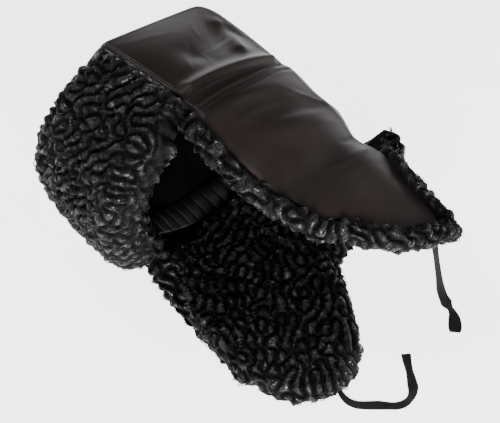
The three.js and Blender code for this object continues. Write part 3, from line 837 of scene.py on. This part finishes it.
def makeFlapLeather():
    columns = np.linspace(0, backLength, leatherForm["flapColumns"])
    upper = np.linspace(-1, 0, leatherForm["upperRows"])[:-1]
    lower = np.linspace(0, 1, leatherForm["lowerRows"]) ** leatherForm["rowCrowding"]
    distance, row = grid(columns, np.concatenate([upper, lower]))
    down = np.where(row < 0, seamUp(distance) * row, insideDown(distance, row))
    point, out = onFlap(distance, row, down)
    toEnd = (leatherLength(distance) - down) * smooth(2 * row)
    toSide = fromFront(distance)
    toTop = down + seamUp(distance)
    drop = edgeRoll(np.where(row > 0.4, toEnd, 99), leatherForm["endRound"])
    drop = np.maximum(drop, edgeRoll(toSide, leatherForm["endRound"]))
    topDrop = np.minimum(edgeRoll(toTop, leatherForm["topRound"]), leatherForm["topDrop"])
    drop = np.maximum(drop, topDrop)
    crease = flapCrease(distance / backLength, down / flaps["earLength"])
    crease *= smooth(down / 14) * smooth(toEnd / 16 + (row < 0.4)) * smooth(toSide / 14)
    place = toTop + 1.2 * np.sin(distance / 13) + 0.03 * distance
    tight = sum(height * np.exp(-(((place - at) / wide) ** 2)) for at, wide, height in tightFolds)
    tight *= smooth(toSide / 10) * smooth((0.36 * backLength - distance) / 40)
    outer = point + out * (crease + tight - drop)[..., None]
    points, faces = shell(outer, point - out * crown["leather"])
    made = makeObject("flapLeather", points, faces, flapLeather)
    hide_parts("flap_leather")


makeFlapLeather()
print("flap leather made")


# Fur: the body's shown faces are divided finely and raised in winding ropes, and short hairs arch
# over the ropes' crests
rope = {
    "spacing": 8.0, "waves": 44, "often": (0.85, 1.2), "height": 4.2, "sink": 1.0, "sharp": 0.92,
    "slant": 3.0,
}
# Pairs are the least and the most, "most" is the most triangles of a piece
hairs = {
    "rings": 5, "radius": 0.4, "slant": (0.4, 1.6), "width": (0.7, 1.02), "thickness": (0.6, 1.3),
    "stray": 0.09, "strayLength": (0.8, 2.6), "lift": (0.1, 0.75), "shift": 0.16, "turn": 0.35,
    "phase": (0.06, 0.5), "parts": 3, "most": 194000,
}
toneWave = [0.5, 0.4, -0.45]


def furBody(columns, rows, at, outer, inner):
    distance, row = grid(columns, rows)
    point, out = at(distance, row)
    high, low = outer(distance, row)[..., None], inner(distance, row)[..., None]
    return shell(point + out * high, point + out * low)


def vertexNormals(points, faces):
    a, b, c, d = (points[faces[:, k]] for k in range(4))
    out = np.cross(c - a, d - b)
    total = np.zeros_like(points)
    for k in range(4):
        np.add.at(total, faces[:, k], out)
    return unit(total)


def divide(points, faces, shown, parts):
    # the shown faces in parts x parts smaller ones: places, normals, share of rope, faces
    normals = vertexNormals(points, faces)
    share = np.ones(len(points))
    share[faces[~shown].ravel()] = 0
    values = np.concatenate([points, normals, share[:, None]], 1)
    a, b, c, d = (values[faces[shown][:, k]][:, None, None] for k in range(4))
    ticks = np.linspace(0, 1, parts + 1)
    u, v = (t[None, :, :, None] for t in grid(ticks, ticks))
    every = mix(mix(a, b, u), mix(d, c, u), v).reshape(-1, 7)
    keys = np.round(every[:, :3] * 500).astype(np.int64)  # one place within 0.002 mm is one point
    _, first, which = np.unique(keys, axis=0, return_index=True, return_inverse=True)
    which = which.reshape(-1, parts + 1, parts + 1)
    small = np.stack([which[:, :-1, :-1], which[:, 1:, :-1], which[:, 1:, 1:], which[:, :-1, 1:]], -1)
    fine = every[first]
    return fine[:, :3], unit(fine[:, 3:6]), smooth(fine[:, 6]), small.reshape(-1, 4)


def ropePhase(places, outs, seed):
    # how far a place is from the nearest crest, 0 on it and half pi in the valley, and the way there
    rng = np.random.default_rng(seed)
    ways = unit(rng.normal(size=(rope["waves"], 3)))
    often = math.pi / rope["spacing"] * rng.uniform(*rope["often"], rope["waves"])
    starts = rng.uniform(0, 2 * math.pi, rope["waves"])
    total, slope = np.zeros(len(places)), np.zeros_like(places)
    for way, f, start in zip(ways, often, starts):
        weight = (1 - (outs @ way) ** 2) ** 3
        angle = places @ way * f + start
        total += weight * np.cos(angle)
        slope -= (weight * np.sin(angle) * f)[:, None] * way
    slope -= outs * np.einsum("ij,ij->i", slope, outs)[:, None]
    steep = np.maximum(np.linalg.norm(slope, axis=1), 1e-9)
    phase = np.arctan2(steep, math.pi / rope["spacing"] * np.abs(total))
    return phase, slope * (np.sign(total) / steep)[:, None]


def beads(places):
    # the ropes are thicker and thinner along their way
    a = np.sin(places @ [0.61, 0.35, 0.2] + 1) * np.sin(places @ [-0.3, 0.52, 0.55] + 2)
    return 1 + 0.16 * a + 0.08 * np.sin(places @ [0.2, -0.9, 0.8])


def ropeRise(phase, bead):
    return rope["height"] * bead * np.maximum(np.cos(phase), 0) ** rope["sharp"] - rope["sink"]


def growHairs(places, outs, sides, bead, rng):
    # three-sided hairs over the crest places, from one flank of the rope to the other
    n, rings = len(places), hairs["rings"]
    ahead = np.cross(outs, sides)
    slant = rope["slant"] * rng.uniform(*hairs["slant"], n)
    wide = rope["spacing"] / 2 * rng.uniform(*hairs["width"], n)
    thick = hairs["radius"] * rng.uniform(*hairs["thickness"], n)
    stray = np.where(rng.random(n) < hairs["stray"], rng.uniform(*hairs["strayLength"], n), 0)
    lift = rng.uniform(*hairs["lift"], n)
    shift = rng.normal(0, hairs["shift"], n)
    turnBy = rng.normal(0, hairs["turn"], n)
    tone = np.clip(0.5 + 0.22 * np.sin(places @ toneWave) + rng.normal(0, 0.2, n), 0.05, 1)
    sides = sides * np.cos(turnBy)[:, None] + ahead * np.sin(turnBy)[:, None]
    ahead = np.cross(outs, sides)
    made, hair, tones = [], [], []
    for k in range(rings):
        v = k / (rings - 1)
        u = (2 * v - 1) * 0.94 + shift
        rise = ropeRise(u * math.pi / 2, bead) + lift + stray * v * v
        middle = places + sides * (u * wide)[:, None] + ahead * (u * slant)[:, None]
        middle = middle + outs * rise[:, None]
        radial = unit(outs + sides * (u * 0.8)[:, None])
        radius = (thick * (0.35 + 0.65 * math.sin(math.pi * v)))[:, None]
        for m in range(3):
            turn = math.pi / 2 + 2 * math.pi * m / 3
            made.append(middle + (ahead * math.cos(turn) + radial * math.sin(turn)) * radius)
            hair.append(stack(0.3 * math.cos(turn), v * 0.6, 40 * tone))
            # painted shade: each hair darker towards its ends, which lie in the valleys
            tones.append(tone * (0.4 + 0.6 * math.sin(math.pi * v)))
    per = rings * 3
    made, hair = (np.stack(v, 1).reshape(-1, 3) for v in (made, hair))
    tones = np.stack(tones, 1).ravel()
    k, m = cells(rings - 1, 3)
    w = (m + 1) % 3
    one = np.stack([k * 3 + m, k * 3 + w, (k + 1) * 3 + w, (k + 1) * 3 + m], 1)
    bases = np.arange(n) * per
    quads = (bases[:, None, None] + one[None]).reshape(-1, 4)
    ends = np.concatenate([bases[:, None] + [2, 1, 0], bases[:, None] + [per - 3, per - 2, per - 1]])
    return made, quads, ends, hair, tones


def makeFur(name, node, points, faces, shown, seed, most=hairs["most"]):
    rng = np.random.default_rng(seed)
    fine, outs, share, small = divide(points, faces, shown, hairs["parts"])
    phase, toCrest = ropePhase(fine, outs, seed)
    crest = fine + toCrest * (phase * rope["spacing"] / math.pi)[:, None]
    again, side = ropePhase(crest, outs, seed)
    crest += side * (again * rope["spacing"] / math.pi)[:, None]
    bead = beads(crest)
    raised = fine + outs * (ropeRise(phase, bead) * share)[:, None]
    ahead = np.cross(outs, toCrest)
    strand = crest + ahead * (rope["slant"] * phase)[:, None]
    patchy = 0.8 + 0.2 * np.sin(crest @ toneWave)
    # painted light: the raised ropes are lighter on their crests and dark in the valleys, where shade
    # falls
    tone = 0.6 * np.maximum(np.cos(phase), 0) ** 2.2 * patchy * share

    each = 6 * (hairs["rings"] - 1) + 2  # triangles of a hair
    rest = faces[~shown]
    room = (most - 2 * (len(small) + len(rest))) // each
    least, last = hairs["phase"]
    near = np.flatnonzero((phase > least) & (phase < last) & (share > 0.55))
    pick = near[rng.permutation(len(near))[:room]]
    made, quads, ends, hair, tones = growHairs(crest[pick], outs[pick], toCrest[pick], bead[pick], rng)
    base, top = len(points), len(points) + len(raised)
    allPoints = np.concatenate([points, raised, made])
    allFaces = rest.tolist()
    for part in (small + base, quads + top, ends + top):
        allFaces += part.tolist()
    hair = np.concatenate([points, strand, hair])
    # painted light of the ropes and hairs; the undivided faces stay at the darkest
    tones = np.concatenate([np.zeros(base), tone, tones])
    attributes = {"hair": hair, "tone": tones}
    piece = makeObject(name, allPoints, allFaces, furHair, attributes, sharp=0)
    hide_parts(node)
    print(name, "made,", len(pick), "hairs,", sum(len(f) - 2 for f in allFaces), "triangles")


trimRows = [0.12, 0.25, 0.4, 0.55, 0.7, 0.82, 0.92, 1]  # across the trim, in shares


def makeFlapFur(name, node, columns, trimAhead, seed, lines, most=hairs["most"]):
    rows = np.concatenate([np.linspace(0, 1, lines), 1 + np.array(trimRows)])

    def down(distance, row):
        within = insideDown(distance, np.minimum(row, 1))
        return np.where(row <= 1, within, mix(leatherLength(distance), flapLength(distance), row - 1))

    def edge(distance, row):
        ahead = np.maximum(-fromFront(distance) / trimAhead, 0)
        return np.minimum(np.hypot(np.maximum(row - 1, 0), ahead), 1)

    def cap(e):
        return np.maximum(roundShare(e), 0.15)

    def lump(distance, row):
        return flaps["lockHeight"] * curls(distance, down(distance, row)) * 0.5

    def high(distance):
        fromEnd = 1 - np.minimum(intoNeck(distance) / flaps["neckRollWidth"], 1)
        roll = flaps["neckRollHeight"] + flaps["neckWool"]
        return mix(flaps["trimHeight"], roll, roundShare(fromEnd))

    def outer(distance, row):
        e = edge(distance, row)
        middle = (high(distance) - flaps["furDepth"]) / 2
        rolled = cap(mix(e, 2 * (row - 1) - 1, neckShare(distance)))
        proud = mix(middle, high(distance) + 0.5 * lump(distance, row), rolled)
        return np.where(e <= 0, -crown["leather"] - crown["gap"], proud)

    def inner(distance, row):
        toJoint = np.abs(fromFront(distance) - earWidth) / (1.5 * flaps["furDepth"])
        thin = mix(flaps["jointDepth"], 1, smooth(toJoint))
        deep = crown["leather"] + crown["gap"] + thin * (flaps["furDepth"] + lump(distance, row))
        start = mix(0.55, 1, smooth(down(distance, row) / flaps["furDepth"]))
        middle = (high(distance) - flaps["furDepth"]) / 2
        return mix(middle, -deep * start, cap(edge(distance, row)))

    points, faces = furBody(columns, rows, lambda d, r: onFlap(d, r, down(d, r)), outer, inner)
    # the trim's outside, the lining's inside and the edges are seen
    c, r = cells(len(columns) - 1, len(rows) - 1)
    count = len(c)
    shown = np.zeros(len(faces), bool)
    ahead = (fromFront(columns[c + 1]) <= 0) | (fromFront(columns[c]) < 0)
    shown[:count] = (rows[r] >= 1) | ahead
    shown[count:2 * count] = rows[r] > 0.03
    shown[2 * count + len(columns) - 1:] = True
    makeFur(name, node, points, faces, shown, seed, most)


def furColumns(ahead):
    before = -np.array([1, 0.93, 0.8, 0.6, 0.4, 0.2]) * ahead
    return np.concatenate([before, np.linspace(0, earWidth - flaps["jointGap"] / 2, 56)])


neckStart = earWidth + flaps["jointGap"]
nearColumns = furColumns(flaps["frontTrim"])
neckColumns = np.linspace(neckStart, backLength - neckStart, 60)
farColumns = (backLength - furColumns(flaps["farTrim"]))[::-1]
makeFlapFur("earLeftFur", "ear_left_fur", nearColumns, flaps["frontTrim"], 3, 62)
makeFlapFur("neckFur", "neck_fur", neckColumns, 1, 5, 36, 120000)
makeFlapFur("earRightFur", "ear_right_fur", farColumns, flaps["farTrim"], 8, 62)

visor = {"height": 86, "depth": 29, "drop": 18, "wrap": 12, "end": 3, "gap": 0.8, "seed": 11}


def makeVisor():
    def visorPoint(across, height):
        across, height = pair(across, height)
        risen = laidStrip(np.maximum(height, 0) / crown["frontHeight"] * frontCorner, across)
        foot = stripPoint(np.zeros_like(across), across)
        foot[..., 2] = height
        low = settle(foot, underCrown(0.0))
        return np.where((height >= 0)[..., None], risen, low)

    end = 1 - visor["end"] / (crown["width"] / 2)

    def fade(across):
        return np.where(across > 0, smooth((across - 0.66) / 0.18), smooth((-across - 0.8) / 0.13))

    def drop(across):
        return visor["drop"] * (1 - 0.5 * across) * (1 - fade(across)) + crown["gap"]

    def height(across, row):
        return np.where(row < 0, row * drop(across) - crown["gap"], row * visor["height"])

    def outside(across, row):
        upper = np.maximum((row - 0.82) / 0.18, 0)
        lower = np.where(row < 0, -row * smooth(drop(across) / visor["drop"]), 0)
        aside = np.maximum((np.abs(across) / end - 0.92) / 0.08, 0)
        return roundShare(np.sqrt(upper ** 2 + aside ** 2 + lower ** 2))

    def outer(across, row):
        lump = flaps["lockHeight"] * curls(across * crown["width"] / 1.6, height(across, row)) * 0.5
        return visor["gap"] + 1 + (visor["depth"] + lump) * outside(across, row)

    def inner(across, row):
        wrap = -visor["wrap"] * roundShare(row) * smooth(drop(across) / visor["drop"])
        return np.where(row < 0, wrap, visor["gap"])

    def at(across, row):
        return withOut(visorPoint, across, height(across, row), 1, stepB=0.5)

    sides = [-1, -0.99, -0.975, -0.955]
    columns = np.array(sides + list(np.linspace(-0.93, 0.93, 66)) + [-s for s in sides[::-1]]) * end
    low = [-1, -0.95, -0.85, -0.7, -0.5, -0.25, 0]
    rows = np.array(low + list(np.linspace(0, 1, 44)[1:-1]) + [0.99, 1])
    points, faces = furBody(columns, rows, at, outer, inner)
    # all but the face against the crown is seen
    _, r = cells(len(columns) - 1, len(rows) - 1)
    shown = np.ones(len(faces), bool)
    shown[len(r):2 * len(r)] = rows[r] < 0
    makeFur("visorFur", "visor_fur", points, faces, shown, visor["seed"])


makeVisor()
print("fur made")


# Sweatband: about two pleats for each ridge of the solid, as their spacing in the photo
band = {
    "height": 27, "thickness": 1, "pleats": 26, "gap": 1, "columns": 24, "rise": 0.85,
    "shadowWidth": 0.14, "shadowStart": 9, "shadowLength": 17, "shadow": 0.85,
}
bandRows = [0.6, 1.2, 3, 8, 14, 20, 24, 26.4, band["height"]]


def makeSweatband():
    count = band["columns"] * band["pleats"]
    distance, height = grid(np.arange(count) * rimLength / count, np.array(bandRows))

    def bandPoint(along, up):
        point, _ = rimAt(along)
        point[..., 2] = up
        return settle(point, underCrown(0.0))

    point, out = withOut(bandPoint, distance, height, 1, 0.5, 0.5)
    inset = crown["leather"] + band["gap"]
    share = np.mod(2 * distance * band["pleats"] / rimLength, 1)
    rise = band["rise"]
    pleat = np.where(share < rise, smooth(share / rise) ** 0.8, 1 - smooth((share - rise) / 0.15))
    bow = 1 - ((height - 14) / 14) ** 2
    outer = point - out * (inset + np.where(height > 13, 1, 0))[..., None]
    depth = inset + 1 + band["thickness"] + pleat * (0.6 + 0.9 * bow) + 0.25 * bow
    inner = point - out * depth[..., None]
    points, faces = shell(outer, inner, ring=True)
    # painted shade: dark between the pleats and towards the crown
    shade = band["shadow"] * smooth((height - band["shadowStart"]) / band["shadowLength"])
    lit = smooth(np.minimum(share, 1 - share) / band["shadowWidth"]) * (1 - shade)
    tones = np.concatenate([lit.ravel(), lit.ravel()])
    made = makeObject("sweatband", points, faces, bandCloth, {"tone": tones})
    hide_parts("sweatband")


makeSweatband()
print("sweatband made")


# Stitching
stitching = {
    "step": 2.6, "long": 1.9, "thick": 0.42, "beside": 2.6, "apart": 1.9, "sides": 5,
    "start": 0.08, "end": 0.97,
}
# Rings of a stitch: place in its length, height over the leather in millimetres, share of its thickness
stitchRings = [(-0.5, -0.35, 0.5), (-0.25, 0.12, 1), (0.25, 0.12, 1), (0.5, -0.35, 0.5)]


def makeStitches(name, lines):
    # short threads laid along lines, each line a list of points and the ways out of the leather
    points, faces, n = [], [], stitching["sides"]
    for centre, out in lines:
        route = Route(centre)
        count = int(route.length / stitching["step"])
        if count < 2:
            continue
        places = (np.arange(count) + 0.5) * stitching["step"]
        at = route.at(places)
        way = unit(route.at(places + 0.3) - route.at(places - 0.3))
        away = np.stack([np.interp(places, route.places, v) for v in out.T], 1)
        across = np.cross(away, way)
        for p, w, o, s in zip(at, way, away, across):
            base = len(points)
            for t, lift, size in stitchRings:
                r = stitching["thick"] * size
                for k in range(n):
                    turn = 2 * math.pi * k / n
                    point = p + w * (t * stitching["long"]) + o * (lift + math.sin(turn) * r)
                    points.append(point + s * (math.cos(turn) * r))
            for i in range(len(stitchRings) - 1):
                for k in range(n):
                    a, b = base + i * n + k, base + i * n + (k + 1) % n
                    faces.append([a, b, b + n, a + n])
            last = base + (len(stitchRings) - 1) * n
            faces.append([base + k for k in range(n)][::-1])
            faces.append([last + k for k in range(n)])
    makeObject(name, np.array(points), faces, threadCloth)


def seamLines(side, count=90):
    # two rows on each side of a seam
    start, end = stitching["start"], stitching["end"]
    lines = []
    for offset in (stitching["beside"], stitching["beside"] + stitching["apart"]):
        for strip in (True, False):
            s = np.linspace(start, end, count)
            if strip:
                beside = np.full(count, side * (1 - offset / (crown["width"] / 2)))
                point, out = withOut(laidStrip, s, beside, -1)
            else:
                front, back = s <= frontCorner, s >= backCorner
                onTop = (s - frontCorner) / (backCorner - frontCorner)
                across = np.where(front, 0, np.where(back, 1, onTop))
                rise = np.where(back, (1 - s) / (1 - backCorner), 1.0)
                rise = np.where(front, s / frontCorner, rise)
                keep = offset / crown["seamSpacing"]
                across = np.clip(across, keep, 1 - keep)
                rise = np.minimum(rise, 1 - keep)
                point, out = withOut(laidSide(side), across, rise, side)
            lines.append((point, out))
    return lines


makeStitches("seamStitches", seamLines(1) + seamLines(-1))
print("stitches made")


# Studio: the floor glows like a light table, as the photo's ground is white
studio = {
    "floorSize": 3000, "floorGlow": 3.2, "world": 0.28, "aim": (0, 0, 80),
    "lamps": [  # place, size, power
        ((-650, -250, 1200), 350, 9), ((200, 900, 900), 500, 3), ((1000, -650, 620), 420, 26),
    ],
}


def makeStudio():
    size = studio["floorSize"]
    corners = np.array([(-size, -size, 0), (size, -size, 0), (size, size, 0), (-size, size, 0)], float)
    data = bpy.data.meshes.new("floor")
    data.from_pydata((corners * mm).tolist(), [], [(0, 1, 2, 3)])
    s = Shader("paper")
    tint = s.noise(s.place(), 3, 2)
    grey = s.mixColour(tint * 0.2, rgb(0.8, 0.8, 0.8), rgb(0.77, 0.77, 0.77))
    data.materials.append(s.surface({
        "Base Color": grey, "Roughness": 0.9,
        "Emission Color": rgb(1, 1, 1), "Emission Strength": studio["floorGlow"],
    }))
    floor = bpy.data.objects.new("floor", data)
    bpy.context.scene.collection.objects.link(floor)
    world = bpy.data.worlds.new("studio")
    world.use_nodes = True
    sky = world.node_tree.nodes["Background"].inputs
    sky["Color"].default_value = rgb(1, 1, 1)
    sky["Strength"].default_value = studio["world"]
    bpy.context.scene.world = world
    for k, (place, width, power) in enumerate(studio["lamps"]):
        light = bpy.data.lights.new("lamp%d" % k, "AREA")
        light.size = width * mm
        light.energy = power
        lamp = bpy.data.objects.new("lamp%d" % k, light)
        bpy.context.scene.collection.objects.link(lamp)
        lamp.location = Vector(place) * mm
        lamp.rotation_mode = "QUATERNION"
        way = Vector(studio["aim"]) * mm - lamp.location
        lamp.rotation_quaternion = way.to_track_quat("-Z", "Y")


makeStudio()
bpy.context.view_layer.update()
print("done")
